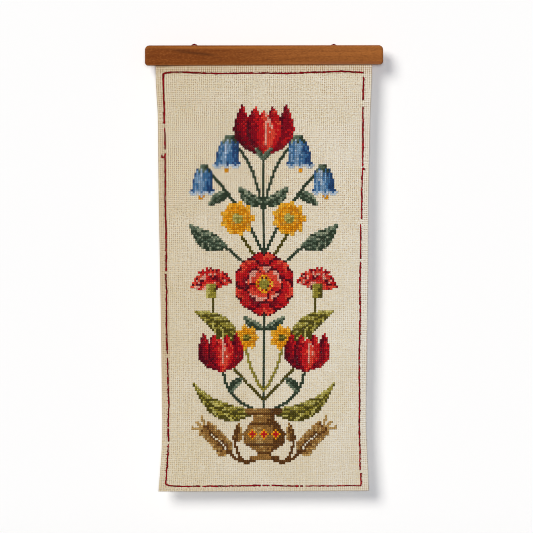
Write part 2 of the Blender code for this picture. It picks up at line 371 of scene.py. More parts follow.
def mesh_from_faces(name, vertices, faces, uv_name, uvs, tints, materials, face_materials=None):
    """A smooth closed mesh. faces holds one array of vertex numbers for each kind of polygon."""
    if enclosed_volume(vertices, faces) < 0:
        faces = [group[:, ::-1] for group in faces]
    mesh = bpy.data.meshes.new(name)
    mesh.from_pydata(vertices, [], [face for group in faces for face in group.tolist()])
    for material in materials:
        mesh.materials.append(material)
    if face_materials is not None:
        mesh.polygons.foreach_set("material_index", face_materials.astype(np.int32))
    corners = np.concatenate([group.ravel() for group in faces])
    layer = mesh.uv_layers.new(name=uv_name)
    layer.data.foreach_set("uv", uvs[corners].astype(np.float32).ravel())
    attribute = mesh.attributes.new("tint", "FLOAT", "POINT")
    attribute.data.foreach_set("value", tints.astype(np.float32))
    mesh.shade_smooth()
    return add_object(name, mesh)


def uneven(rng, shape, kind):
    spread, low, high, middle = UNEVEN[kind]
    return rng.normal(middle, spread, shape).clip(low, high)


# Shape of the hanging cloth


def level_at(drop, column):
    """One column of LEVELS at each drop, on a smooth curve through the table's rows."""
    drop = np.asarray(drop, float)
    table = np.array(LEVELS) * MM
    drops, values = table[:, 0], table[:, LEVEL_COLUMNS.index(column)]
    slopes = np.gradient(values, drops)
    row = np.clip(np.searchsorted(drops, drop) - 1, 0, len(drops) - 2)
    span = drops[row + 1] - drops[row]
    t = (drop - drops[row]) / span
    return (
        (1 + 2 * t) * (1 - t) ** 2 * values[row] + t * (1 - t) ** 2 * span * slopes[row]
        + t * t * (3 - 2 * t) * values[row + 1] - t * t * (1 - t) * span * slopes[row + 1]
    )


def cloth_at(share, drop):
    """Points of the front face at that share of the width from the left, and that drop."""
    share, drop = np.broadcast_arrays(np.asarray(share, float), np.asarray(drop, float))
    left = -level_at(drop, "left_mm")
    x = left + share * (level_at(drop, "right_mm") - left)
    wave = level_at(drop, "wave_mm") * np.sin(math.tau * (WAVES_ACROSS * share + WAVE_START))
    left_edge = np.clip(1 - share / CURL_REACH, 0, None) ** 2
    right_edge = np.clip(1 - (1 - share) / CURL_REACH, 0, None) ** 2
    forward = (
        level_at(drop, "forward_mm") + wave
        + left_edge * level_at(drop, "left_curl_mm")
        + right_edge * level_at(drop, "right_curl_mm")
    )
    rise = BOTTOM_EDGE_RISE * share ** 2 * np.clip(drop / CLOTH_DROP, 0, None)
    return np.stack([x, CLOTH_FRONT_Y - forward, BAR_FOOT_Z - drop + rise], -1)


def wander(count, seed):
    """How far each thread line strays from its even place, in squares, none at the edges."""
    stray = uneven(np.random.default_rng(seed), count + 1, "thread_line")
    stray[[0, -1]] = 0.0
    return stray


COLUMN_WANDER = wander(SQUARES_ACROSS, WEAVE_SEED)
ROW_WANDER = wander(SQUARES_DOWN, WEAVE_SEED + 1)


def slow_wave(wave, along, share):
    """A wave along one way of the cloth, which fades out at both ends of the other way."""
    squares, pace, start = wave
    return squares * np.sin(along * pace + start) * np.sin(np.pi * share)


def square_at(column, row):
    """Points of the front face at hole column and hole row, which may be fractions."""
    column, row = np.broadcast_arrays(np.asarray(column, float), np.asarray(row, float))
    across = column + np.interp(column, np.arange(SQUARES_ACROSS + 1), COLUMN_WANDER)
    down = row + np.interp(row, np.arange(SQUARES_DOWN + 1), ROW_WANDER)
    across = across + slow_wave(DRIFT, row, column / SQUARES_ACROSS)
    down = down + slow_wave(SAG, column, np.clip(row / SQUARES_DOWN, 0, 1))
    return cloth_at(across / SQUARES_ACROSS, down * SQUARE_HEIGHT)


# Chart of the flowers, drawn on the squares

columns, rows = np.meshgrid(
    np.arange(-CHART_HALF_WIDTH, CHART_HALF_WIDTH + 1, dtype=float),
    np.arange(CHART_ROWS, dtype=float),
)
chart = np.full(columns.shape, BLANK)
grain = np.random.default_rng(CHART_SEED).random(columns.shape) - 0.5


def polar(centre):
    dx, dy = columns - centre[0], rows - centre[1]
    return dx, dy, np.hypot(dx, dy), np.arctan2(dy, dx)


def work(mask, value, tones, speckle=0.5):
    """Works the masked squares in tones from dark (value 0) to light (value 1)."""
    steps = len(tones)
    index = np.floor(value * steps + grain * speckle).clip(0, steps - 1).astype(int)
    chart[mask] = np.array([THREAD[tone] for tone in tones])[index][mask]


def work_plain(mask, tone):
    chart[mask] = THREAD[tone]


def along_and_across(base, tip, bow=0):
    """Each square's place on a bowed axis: 0 to 1 along it, and its distance across it."""
    axis = np.array(tip, float) - np.array(base, float)
    length = float(np.hypot(*axis))
    ux, uy = axis / length
    dx, dy = columns - base[0], rows - base[1]
    along = (dx * ux + dy * uy) / length
    across = dx * uy - dy * ux
    return along, across - bow * 4 * along * (1 - along)


def leaf(base, tip, half_width, bow, tones, fullest=0.42, vein=True, light_side=1):
    along, across = along_and_across(base, tip, bow)
    inside = along.clip(0, 1)
    power = math.log(0.5) / math.log(fullest)
    width = half_width * np.sin(np.pi * inside ** power) ** 0.85
    mask = (along > -0.02) & (along < 1.02) & (abs(across) < width + 0.45)
    side = across / (width + 0.6) * light_side
    value = 0.52 + 0.34 * side - 0.22 * abs(side) ** 3 + 0.18 * (inside - 0.5)
    work(mask, value, tones, 0.9)
    if not vein:
        return
    work_plain(mask & (abs(across) < 0.55) & (along < 0.86), tones[0])
    broad = mask & (width > 2.2)
    slant = along * 9 + abs(side) * 1.7
    work_plain(broad & (abs(slant % 2 - 1) < 0.22) & (side > 0.15), tones[0])
    work_plain(broad & (abs((slant + 1) % 2 - 1) < 0.25) & (side < -0.15), tones[-1])


def stem(points, tone, thickness=1):
    """A line of stitches: straight between two points, or curved towards a third between them."""
    path = np.array(points, float)
    share = np.linspace(0, 1, 400)[:, None]
    if len(path) == 3:
        line = (1 - share) ** 2 * path[0] + 2 * share * (1 - share) * path[1] + share ** 2 * path[2]
    else:
        line = (1 - share) * path[0] + share * path[1]
    for x, y in line:
        work_plain((abs(columns - x) <= thickness / 2) & (abs(rows - y) <= 0.5), tone)


def rosette(centre, radius, lobes, tones, eye):
    dx, dy, distance, angle = polar(centre)
    wave = np.cos(lobes * angle)
    ring = distance / (radius * (0.9 + 0.1 * wave))
    slope = 0.1 * (dx + dy) / radius
    value = np.where(ring > 0.66, 0.66 + 0.3 * wave, 0.56 - 0.36 * wave) - slope
    value = np.where((ring > 0.62) & (ring < 0.7), 0.2, value)
    work(ring <= 1, value, tones, 0.7)
    work(ring < 0.33, 0.55 - 2.5 * slope, eye, 0.9)
    work_plain((ring >= 0.3) & (ring < 0.4) & (np.sin(9 * angle) > 0), tones[0])


def bell(top, length, half_width, lean, tones):
    down = (rows - top[1]) / length
    inside = down.clip(0, 1.15)
    middle = top[0] + lean * inside
    shoulder = 0.42 + 0.42 * (1 - np.exp(-5.5 * inside))
    flare = 0.34 * np.clip(inside - 0.72, 0, 1) / 0.28
    across = (columns - middle) / (half_width * (shoulder + flare))
    lip = 1 - 0.11 * abs(np.sin(across * np.pi * 1.5))
    value = 0.74 - 0.5 * abs(across + 0.28) - 0.12 * (down - 0.5)
    ribs = abs(((across + 1) * 2) % 1 - 0.5) > 0.4
    value = np.where(ribs, value - 0.25, value)
    value = np.where(down > lip - 0.09, 0.86, value)
    work((down > 0) & (down < lip + 0.02) & (abs(across) <= 1.04), value, tones, 0.8)
    cap = (down > -0.12) & (down < 0.1 + 0.08 * np.cos(across * 9)) & (abs(across) < 0.95)
    cap = cap & (abs(columns - middle) < half_width * 0.5)
    work(cap, 0.4 - 0.3 * across, DEEP_GREENS, 0.6)
    work_plain((down > lip) & (down < lip + 0.13) & (abs(across) < 0.16), "gold")


def tulip(base, height, half_width, lean):
    x, y = base
    tip_y = y - height
    for reach, start, drop, bow, tones in (
        (1.02, 1, 1, 0.42, REDS[:3]),
        (0.42, 0, height * 0.08, 0.16, REDS),
    ):
        for side in (-1, 1):
            leaf(
                (x + side * start, y), (x + side * half_width * reach + lean, tip_y + drop),
                half_width * 0.41, -side * half_width * bow, tones, 0.5, False, -1,
            )
    base, tip = (x, y + 0.5), (x + lean, tip_y + height * 0.16)
    leaf(base, tip, half_width * 0.46, 0, BLUSH, 0.48, False, -1)
    along, across = along_and_across(base, tip)
    glow = (along > 0.25) & (along < 0.8) & (abs(across + half_width * 0.13) < 0.6)
    work_plain(glow, "rose")


def carnation(base, radius, turn):
    dx, dy, distance, _ = polar(base)
    angle = np.arctan2(dx, -dy) - turn
    teeth = abs((angle * 5.2) % 1 - 0.5) * 2
    ring = distance / (radius * (1 - 0.13 * teeth))
    mask = (abs(angle) < 1.32) & (ring <= 1) & (distance > radius * 0.12)
    layers = (ring * 2.7 + 0.35 * teeth) % 1
    work(mask, 0.92 - 0.85 * layers - 0.1 * np.sin(angle), BLUSH, 0.7)
    work_plain(mask & (layers > 0.86), "crimson_deep")
    cup = (abs(dx - turn * 2) < radius * 0.2) & (dy > -radius * 0.3) & (dy < radius * 0.28)
    work(cup, 0.5 - dx * 0.12, OLIVES, 0.6)


def petal(centre, angle, reach, half_width, tones, lift=0):
    """A broad petal with a notched tip, outlined in the darkest tone."""
    tip = (centre[0] + reach * math.cos(angle), centre[1] + reach * math.sin(angle))
    along, across = along_and_across(centre, tip)
    inside = along.clip(0, 1)
    width = half_width * np.sin(np.pi * inside ** 1.45) ** 0.62
    notch = 1 - 0.13 * np.exp(-(across / 1.4) ** 2)
    rim = (along > -0.02) & (along < notch + 1.1 / reach) & (abs(across) < width + 1.1)
    work_plain(rim, tones[0])
    mask = (along > 0) & (along < notch) & (abs(across) < width)
    lit_side = math.copysign(1, 0.01 - math.cos(angle - math.radians(50)))
    side = across / (width + 0.5) * lit_side
    value = 0.1 + lift + 0.62 * inside ** 1.3 - 0.22 * side
    value = np.where(abs(side) < 0.16, value - 0.2 * (1 - inside), value)
    work(mask, value, tones[1:], 0.8)
    work_plain(mask & (along > notch - 1.6 / reach) & (side < 0.1), tones[-1])


def big_bloom(centre, radius):
    """Two whorls of broad petals round a green eye."""
    for step in (0, 3, 1, 4, 2, 5):
        petal(centre, math.radians(90 + 60 * step), radius, radius * 0.47, REDS)
    inner = ("crimson_deep", "scarlet", "coral", "rose")
    for step in (0, 2, 4, 1, 3):
        petal(centre, math.radians(-90 + 72 * step), radius * 0.6, radius * 0.34, inner, 0.1)
    dx, dy, distance, angle = polar(centre)
    halo = (distance < radius * 0.27) & (np.cos(8 * angle) > -0.45)
    work(halo | (distance < radius * 0.2), 0.5 + 0.3 * np.cos(3 * angle), GOLDS, 0.9)
    work(distance < radius * 0.17, 0.5 - 0.4 * (dx + dy) / radius, OLIVES, 0.9)


def ear(base, tip, bow, pairs, tones):
    """An ear of grain: pairs of seeds up its stalk, and whiskers at its end."""
    base, tip = np.array(base, float), np.array(tip, float)
    along = (tip - base) / np.hypot(*(tip - base))
    across = np.array((along[1], -along[0]))
    for whisker in (-3.6, 0, 3.6):
        stem([tip - along * 2, tip + along * 5 + across * whisker], tones[2])
    for step in range(pairs):
        share = step / pairs
        here = base + (tip - base) * share + across * bow * 4 * share * (1 - share)
        size = 6 - 1.6 * share
        for side in (-1, 1):
            seed = here + across * side * 0.7
            end = seed + (along * 0.86 + across * side * 0.62) * size
            leaf(seed, end, 1.35, 0, tones, 0.5, False, side)
            work_plain((abs(columns - seed[0]) < 0.6) & (abs(rows - seed[1]) < 0.6), tones[0])
    leaf(tip - along * 4, tip + along, 1.3, 0, tones, 0.5, False)


VASE_PROFILE = (
    # row, half_width
    (0, 9), (1.6, 9), (3, 5.6), (5, 5), (8.5, 8.6), (12, 11), (15.5, 10.6),
    (18.5, 7.4), (20.5, 3.6), (22, 3.4), (23, 7), (24.6, 7),
)
VASE_RINGS = (2, 7, 17, 21)


def vase(top):
    down = rows - top
    profile = np.array(VASE_PROFILE)
    width = np.interp(down, profile[:, 0], profile[:, 1])
    mask = (down >= 0) & (down <= profile[-1, 0]) & (abs(columns) <= width)
    work(mask, 0.72 - 0.55 * abs(columns / (width + 1) + 0.3), BROWNS, 0.7)
    work_plain(mask & np.isin(down, VASE_RINGS), "umber")
    band = mask & (down >= 9) & (down <= 15) & (abs(columns) < 9)
    diamond = abs((columns + 3) % 6 - 3) + abs(down - 12) * 0.95
    work_plain(band & (diamond < 2.6), "gold")
    work_plain(band & (diamond < 1.1), "scarlet")


def side_sprays(s):
    """Everything on one side of the main stem: s is 1 on the right and -1 on the left."""
    def side_stem(tone, *points):
        stem([(x * s, y) for x, y in points], tone)

    def side_leaf(x, y, tip_x, tip_y, half_width, bow, tones):
        leaf((x * s, y), (tip_x * s, tip_y), half_width, bow * s, tones, light_side=s)

    side_stem("bottle_green", (0, 56), (4, 30), (17, 19))
    side_stem("bottle_green", (0, 76), (12, 50), (29, 33))
    side_stem("olive_dark", (0, 84), (6, 74), (13, 64))
    side_stem("bottle_green", (0, 92), (12, 76), (21, 71))
    side_stem("olive_dark", (0, 146), (30, 122), (26, 94))
    side_stem("bottle_green", (0, 152), (20, 148), (21, 130))
    side_stem("olive", (0, 142), (8, 132), (9, 120))
    side_leaf(1, 51, 12, 43, 2.7, -1.5, DEEP_GREENS)
    side_leaf(18, 46, 27, 51, 2.1, 0.8, DEEP_GREENS)
    bell((17 * s, 19), 15, 6.4, 1.5 * s, BLUES)
    bell((29.5 * s, 33), 14, 6, 1.5 * s, BLUES)
    side_leaf(19, 72, 37, 61, 4, -2, DEEP_GREENS)
    rosette((13 * s, 58), 8.8, 9, GOLDS, ("olive", "moss_light"))
    carnation((26.5 * s, 93), 11.5, 0.12 * s)
    side_leaf(13, 119, 35, 103, 4.2, 2, OLIVES)
    side_leaf(1, 112, 10, 106, 1.9, -0.8, DEEP_GREENS)
    rosette((9 * s, 116), 6.2, 7, GOLDS, ("olive_dark", "olive"))
    side_leaf(18, 142, 11, 136, 1.7, -0.6, DEEP_GREENS)
    tulip((21.5 * s, 132), 19, 8, 1 * s)
    side_leaf(4, 152, 36, 138, 3.7, -6.5, OLIVES)
    side_stem("umber", (5, 176), (12, 178), (19, 171))
    side_stem("umber", (8, 177), (14, 176), (15, 166))
    ear((18 * s, 171.5), (31 * s, 160), 0.6 * s, 5, BROWNS)
    side_leaf(15, 167, 13, 158, 1.8, 0.5, BROWNS)


def draw_chart():
    stem([(0, 26), (0, 152)], "bottle_green", 1.4)
    for s in (1, -1):
        side_sprays(s)
    big_bloom((0, 90), 15.5)
    tulip((0, 27), 25, 10.5, 0)
    for s in (-1, 1):
        leaf((0, 29), (4 * s, 24), 1.2, 0, DEEP_GREENS, vein=False)
    vase(151)


# Materials


class Value:
    """A node's output, which takes plus, minus, times and so on, each as one more node."""

    def __init__(self, nodes, socket):
        self.nodes = nodes
        self.socket = socket

    def __add__(self, other):
        return self.nodes.math("ADD", self, other)

    def __sub__(self, other):
        return self.nodes.math("SUBTRACT", self, other)

    def __rsub__(self, other):
        return self.nodes.math("SUBTRACT", other, self)

    def __mul__(self, other):
        return self.nodes.math("MULTIPLY", self, other)

    def __truediv__(self, other):
        return self.nodes.math("DIVIDE", self, other)

    def __pow__(self, other):
        return self.nodes.math("POWER", self, other)

    def __abs__(self):
        return self.nodes.math("ABSOLUTE", self)


class Nodes:
    """Short calls that add and link the nodes of one material."""

    def __init__(self, name):
        self.material = bpy.data.materials.new(name)
        self.material.use_nodes = True
        self.tree = self.material.node_tree
        self.shader = self.tree.nodes["Principled BSDF"]

    def feed(self, node, values):
        """Links or sets the node's inputs, by name or number. An input fed None stays as it is."""
        for key, value in values.items():
            socket = node.inputs[key]
            if isinstance(value, Value):
                self.tree.links.new(value.socket, socket)
            elif value is not None:
                socket.default_value = (*value, 1) if socket.type == "RGBA" else value

    def add(self, kind, values=None, output=0, **settings):
        node = self.tree.nodes.new("ShaderNode" + kind)
        for name, setting in settings.items():
            setattr(node, name, setting)
        self.feed(node, values or {})
        return Value(self, node.outputs[output])

    def math(self, operation, *values, clamp=False):
        inputs = dict(enumerate(values))
        return self.add("Math", inputs, operation=operation, use_clamp=clamp)

    def mix(self, factor, first, second, blend="MIX"):
        """Inputs 0, 6 and 7 and output 2 are the ones that a mix of colours uses."""
        inputs = {0: factor, 6: first, 7: second}
        return self.add("Mix", inputs, 2, data_type="RGBA", blend_type=blend)

    def coats(self, base, *coats):
        """Lays coats over the base in turn, each of them (how much of it shows, its colour)."""
        for factor, colour in coats:
            base = self.mix(factor, base, linear(*colour))
        return base

    def shaded(self, base, shade):
        grey = self.add("CombineColor", {"Red": shade, "Green": shade, "Blue": shade})
        return self.mix(1, base, grey, "MULTIPLY")

    def band(self, value, low, high, start=0, end=1):
        """start below low, end above high, and smooth between them."""
        inputs = dict(enumerate((value, low, high, start, end)))
        return self.add("MapRange", inputs, interpolation_type="SMOOTHSTEP")

    def place(self, scale=(1, 1, 1), uv_name=None):
        """The surface's place, in metres or in that UV map, scaled."""
        if uv_name:
            source = self.add("UVMap", uv_map=uv_name)
        else:
            source = self.add("TexCoord", output="Object")
        return self.add("Mapping", {"Vector": source, "Scale": scale})

    def parts(self, vector):
        """The three parts of a vector."""
        return [self.add("SeparateXYZ", {0: vector}, part) for part in "XYZ"]

    def tint(self):
        """The shade that each point of the mesh carries."""
        return self.add("Attribute", output="Fac", attribute_name="tint")

    def noise(self, vector, scale, detail=3, roughness=0.5):
        inputs = {"Vector": vector, "Scale": scale, "Detail": detail, "Roughness": roughness}
        return self.add("TexNoise", inputs)

    def bump(self, height, strength, distance, under=None):
        inputs = {"Height": height, "Strength": strength, "Distance": distance, "Normal": under}
        return self.add("Bump", inputs)

    def surface(self, colour, roughness, specular, normal=None, sheen=0):
        self.feed(self.shader, {
            "Base Color": colour, "Roughness": roughness, "Specular IOR Level": specular,
            "Normal": normal, "Sheen Weight": sheen, "Sheen Roughness": 0.5,
        })
        return self.material


def along_bar(x):
    """How far along the bar x is, from 0 to 1, and how high the bar's foot is there."""
    share = x / BAR_LENGTH + 0.5
    return share, share * BAR_FOOT_RISE + BAR_LOW.z


def aida_material():
    """Ivory evenweave: a hole at each corner of a square, four threads to a square each way."""
    n = Nodes("ivory_aida")
    column, row, _ = n.parts(n.place(uv_name="weave"))

    def chance(across, down):
        """A number from 0 to 1 for each square, column or row."""
        place = n.add("CombineXYZ", {"X": across, "Y": down})
        return n.add("TexWhiteNoise", {"Vector": place}, noise_dimensions="2D")

    def strayed(value, hole, luck, reach):
        """How far value is from a hole's middle, which strays a little from its line."""
        return abs(value - (hole + (luck - 0.5) * reach))

    def down_cloth(low, high, start=0, end=1):
        """A band down the cloth, with its limits as shares of the drop."""
        return n.band(row, SQUARES_DOWN * low, SQUARES_DOWN * high, start, end)

    def weave_noise(scale, *settings):
        return n.noise(n.place(scale, "weave"), *settings)

    def over_edge(past, start=0, end=1):
        """A band across a hem's raw edge, at that many squares past it."""
        return n.band(past, -HEM_BLUR_SQUARES, HEM_BLUR_SQUARES, start, end)

    hole_column, hole_row = n.math("FLOOR", column + 0.5), n.math("FLOOR", row + 0.5)
    luck = chance(hole_column, hole_row)
    near_column = strayed(column, hole_column, luck, 0.16)
    near_row = strayed(row, hole_row, chance(hole_row, hole_column), 0.26)
    apart = (near_column ** 3 + near_row ** 3) ** (1 / 3)
    open_hole = n.band(apart, 0.1, n.band(luck, 0, 1, 0.27, 0.4), 1, 0)
    depth = open_hole * n.band(chance(hole_column, 3.5) + luck * 1.2, 0.4, 2, 0.6, 1)
    lines = n.band(n.math("MINIMUM", near_column, near_row), 0.05, 0.22, 1, 0)
    tan_left = n.math(
        "MINIMUM", down_cloth(0.1, 0.65, 0.22, 0.6), down_cloth(0.7, 0.95, 0.62, 0.1),
    )
    hem, ribs, columns_shown = 0, 0, 0.1
    for value, edge, outward, near, tan, rib in (
        (column, HEM_COLUMNS[0], -1, near_row, tan_left, 0.16),
        (column, HEM_COLUMNS[1], 1, near_row, 0, 0.16),
        (row, HEM_ROWS[0], -1, near_column, 0.24, 0.5),
        (row, HEM_ROWS[1], 1, near_column, 0.06, 0.36),
    ):
        past = (value - edge) * outward
        hem = n.math("MAXIMUM", hem, over_edge(past, 0, tan))
        rib_here = n.band(near, 0.06, 0.32, rib, 0) * over_edge(past)
        ribs = n.math("MAXIMUM", ribs, rib_here)
        if near is near_row:
            columns_shown = n.math("MINIMUM", columns_shown, over_edge(past, 0.1, 0))
    column_lines = n.band(near_column, 0.05, 0.24, 1, 0) * columns_shown
    contrast = down_cloth(0.28, 0.52, 1, 0.62)
    depth = n.math("MULTIPLY", depth, ribs + 1, clamp=True) * contrast
    pale_hem = n.band(column, HEM_COLUMNS[1] - HEM_BLUR_SQUARES, HEM_COLUMNS[1] + HEM_BLUR_SQUARES, 0, 0.3)

    across_wave = n.math("SINE", column * (math.pi * 4))
    down_wave = n.math("SINE", row * (math.pi * 4))
    over = n.band(across_wave * down_wave, -0.15, 0.15)
    threads = abs(across_wave) * over + abs(down_wave) * (1 - over)

    cloud = n.noise(n.place(), 9, 4, 0.55)
    patch = n.noise(n.place((1, 1, 1.4)), 34, 3, 0.6)
    slub_across = weave_noise((0.06, 1, 1), 2, 2)
    slub_down = weave_noise((1, 0.05, 1), 2, 2)
    fleck = weave_noise((1, 0.8, 1), 1.7, 1)
    dye = weave_noise((1, 1, 1), 1.1, 2, 0.7)
    across = n.band(column, SQUARES_ACROSS * 0.1, SQUARES_ACROSS * 0.9)
    base = n.mix(n.band(cloud, 0.35, 0.65), linear(218, 203, 172), linear(226, 215, 191))
    slubs = n.math("MAXIMUM", slub_across, slub_down)
    base = n.coats(
        base,
        (n.band(slubs, 0.5, 0.75, 0, 0.6), (243, 238, 222)),
        (n.band(patch, 0.35, 0.7, 0, 0.3), (206, 192, 150)),
        (n.band(fleck, 0.52, 0.72, 0, 0.52) * contrast, (250, 246, 232)),
        (n.band(fleck, 0.28, 0.48, 0.42, 0) * contrast, (192, 155, 110)),
        (n.band(dye, 0.5, 0.7, 0, 0.72), (212, 208, 196)),
        (n.band(dye, 0.3, 0.48, 0.72, 0), (226, 200, 152)),
        (hem, (202, 177, 142)),
        (pale_hem, (238, 233, 220)),
        # Painted shade in the gaps between the threads and between the squares, and in the hems' ribs
        (n.band(threads, 0, 0.7, 0.32, 0), (190, 162, 122)),
        (lines * 0.14, (180, 152, 112)),
        (column_lines, (176, 148, 108)),
        (ribs, (168, 124, 80)),
    )
    # Painted shade in the holes, which show dark brown
    base = n.mix(depth * 0.92, base, n.mix(across, linear(122, 86, 50), linear(140, 104, 66)))
    x, _, z = n.parts(n.place())
    share, bar_foot = along_bar(x)
    # Painted shadow of the bar on the cloth just below its foot, longer and darker at the cloth's left
    # corner
    shadow_under_bar = n.band(bar_foot - z, 0, n.band(share, 0.08, 0.14, 0.0028, 0.0017), 1, 0)
    shadow_under_bar_colour = n.mix(n.band(share, 0.08, 0.16), linear(104, 66, 36), linear(150, 88, 40))
    base = n.mix(shadow_under_bar * n.band(share, 0.08, 0.3, 0.88, 0.62), base, shadow_under_bar_colour)
    blue = across * down_cloth(0, 0.2, 0.6, 1)
    blue = n.math("MAXIMUM", blue, down_cloth(0.6, 0.92, 0, 0.3))
    base = n.mix(1, base, n.mix(blue, AIDA_TINT_LEFT, AIDA_TINT_RIGHT), "MULTIPLY")
    base = n.mix(down_cloth(0.28, 0.52), base, AIDA_TINT_LOW, "MULTIPLY")
    base = n.coats(base, (across * down_cloth(0.78, 0.98, 0, 0.26), (186, 172, 144)))
    woven = n.bump(threads, 0.45, 0.00012)
    normal = n.bump(1 - lines, 0.4, 0.00016, woven)
    return n.surface(n.shaded(base, n.tint()), 0.92, 0.12, normal, sheen=0.05)


def thread_material(name, colour, specular=0.09):
    """Soft twisted thread of one colour, with fibres along it and a little uneven dye."""
    n = Nodes("thread_" + name)
    along, around, _ = n.parts(n.place(uv_name="strand"))
    ply = n.math("SINE", (along * 2.6 + around) * math.tau)
    fibre = n.noise(n.place((1.2, 9, 1), "strand"), 3)
    dark = tuple(part * 0.62 for part in colour)
    light = tuple(min(1, part * 1.24 + 0.003) for part in colour)
    base = n.mix(0.5, n.mix(n.band(fibre, 0.32, 0.68), dark, light), colour)
    # Painted shade in the grooves between the plies, times the shade and tone that each point carries
    base = n.shaded(base, n.band(ply, -1, 0.2, 0.86, 1) * n.tint())
    normal = n.bump(ply, 0.5, 0.00012, n.bump(fibre, 0.4, 0.00006))
    return n.surface(base, 0.78, specular, normal)


def wood_material():
    """Reddish brown hardwood, its fine grain along the bar, darker at the left; a painted highlight,
    partly wear, below the top edge; painted shade above the foot and painted light on the foot's arris.
    """
    n = Nodes("oiled_hardwood")
    x, _, z = n.parts(n.place())
    share, foot = along_bar(x)
    broad = n.noise(n.place((1, 9, 26)), 7, 4, 0.6)
    medium = n.noise(n.place((1.2, 27, 72)), 10, 3, 0.7)
    fine = n.noise(n.place((2.6, 54, 140)), 12, 3, 0.6)
    pores = n.noise(n.place((12, 120, 230)), 10, 2)
    speck = n.noise(n.place((0.36, 0.9, 0.9)), 1000, 2, 0.6)
    to_right = n.band(x, BAR_LOW.x * 0.8, BAR_HIGH.x * 0.9)

    # A lighter band below the top edge: painted highlight where the rounded top meets the light, with some
    # edge wear; less of it at the very top edge, towards the right and at the left end
    highlight_and_wear = n.band(z + medium * 0.0008, HIGHLIGHT_AND_WEAR_FOOT_Z, HIGHLIGHT_AND_WEAR_FULL_Z)
    highlight_and_wear *= n.band(z, BAR_HIGH.z - 0.0028, BAR_HIGH.z - 0.001, 1, 0.25)
    highlight_and_wear *= n.band(x, BAR_HIGH.x * -0.3, BAR_HIGH.x * 0.7, 0.56, 0.24)
    highlight_and_wear *= n.band(x, BAR_LOW.x * 0.95, BAR_LOW.x * 0.55, 0.5, 1)
    above_foot = z - foot
    # Painted shade a little above the foot, on the right half of the bar
    shade_above_foot = n.band(above_foot, 0.0024, 0.0042, 0.42, 0) * n.band(share, 0.55, 0.8)

    streak_length = STREAK_END[0] - STREAK_START[0]
    slope = (STREAK_END[1] - STREAK_START[1]) / streak_length
    past_start = x - STREAK_START[0]
    along = past_start / streak_length
    smoke = abs(z - (past_start * slope + STREAK_START[1]))
    smoke = smoke + (broad - 0.5) * 0.004 + (medium - 0.5) * 0.004
    streak = n.band(smoke, -0.0006, 0.0032, 1, 0) * n.band(along, -0.1, 0.4)
    streak *= n.band(along, 0.85, 1.3, 0.66, 0)
    dark_pores = n.band(pores, 0.62, 0.74, 0, 0.6)
    base = n.coats(
        n.mix(n.band(broad, 0.35, 0.66), linear(118, 60, 22), linear(150, 84, 34)),
        (n.band(fine, 0.4, 0.7, 0, 0.45), (98, 48, 17)),
        (n.band(medium, 0.46, 0.66, 0, 0.55), (104, 48, 16)),
        (n.band(medium, 0.3, 0.46, 0.35, 0), (172, 104, 50)),
        ((1 - to_right) * 0.6, (106, 50, 8)),
        (to_right * 0.45, (170, 108, 54)),
        (n.band(speck, 0.48, 0.66, 0, 0.24), (84, 40, 14)),
        (n.band(speck, 0.34, 0.5, 0.18, 0), (178, 112, 56)),
        (highlight_and_wear, (178, 110, 48)),
        (shade_above_foot, (122, 68, 46)),
        # Painted light on the foot's rounded arris, lifting the shade of its rounding
        (n.band(above_foot, 0, 0.0018, 0.36, 0), (196, 132, 78)),
        (streak, (60, 28, 10)),
        (dark_pores, (70, 34, 14)),
    )
    normal = n.bump(fine - dark_pores * 0.8, 0.25, 0.0002)
    return n.surface(base, n.band(broad, 0.3, 0.7, 0.42, 0.55), 0.08, normal)


def plain_material(name, open_from_behind=False):
    n = Nodes(name)
    n.surface(WALL_COLOUR, 1, 0)
    if open_from_behind:
        shader = n.add("MixShader", {
            0: n.add("NewGeometry", output="Backfacing"),
            1: Value(n, n.shader.outputs[0]),
            2: n.add("BsdfTransparent"),
        })
        n.feed(n.tree.nodes["Material Output"], {"Surface": shader})
    return n.material


# Bar


def runs_along_y(edge):
    low, high = (vert.co for vert in edge.verts)
    return abs(low.x - high.x) < SAME_PLACE and abs(low.z - high.z) < SAME_PLACE


def cutter(name, size, centre, foot_corner=0.0):
    """A box that cuts the bar, with its centre there and that radius at its foot's corners."""
    bm = bmesh.new()
    bmesh.ops.create_cube(bm, size=1.0)
    bmesh.ops.scale(bm, vec=size, verts=bm.verts)
    bmesh.ops.translate(bm, vec=centre, verts=bm.verts)
    if foot_corner:
        edges = [edge for edge in bm.edges if runs_along_y(edge) and edge.verts[0].co.z < 0.0]
        bmesh.ops.bevel(
            bm, geom=edges, offset=foot_corner, offset_type="OFFSET",
            segments=NOTCH_CORNER_SEGMENTS, profile=0.5, affect="EDGES", clamp_overlap=True,
        )
    return object_from_bmesh(name, bm)


def bar_outline(y, at_ends=0.0, at_top=0.0, at_foot=0.0):
    """Points once round the bar at that y, drawn in that far at its ends, top and foot."""
    points = []
    for side_x, side_z, start in ((1, 1, 0), (-1, 1, 90), (-1, -1, 180), (1, -1, 270)):
        if side_z > 0:
            edge_z, radius, drawn_in = BAR_HIGH.z - BAR_TOP_LOWERED, BAR_TOP_CORNER, at_top
        else:
            edge_z, radius, drawn_in = BAR_LOW.z, BAR_FOOT_CORNER, at_foot
        for step in range(BAR_CORNER_SEGMENTS + 1):
            turn = math.radians(start + 90 * step / BAR_CORNER_SEGMENTS)
            x = side_x * (BAR_LENGTH / 2 - radius) + (radius - at_ends) * math.cos(turn)
            z = edge_z - side_z * radius + (radius - drawn_in) * math.sin(turn)
            share = x / BAR_LENGTH + 0.5
            rise = BAR_FOOT_RISE * share if side_z < 0 else -BAR_TOP_RISE * (1 - share)
            points.append((x, y, z + rise))
    return points


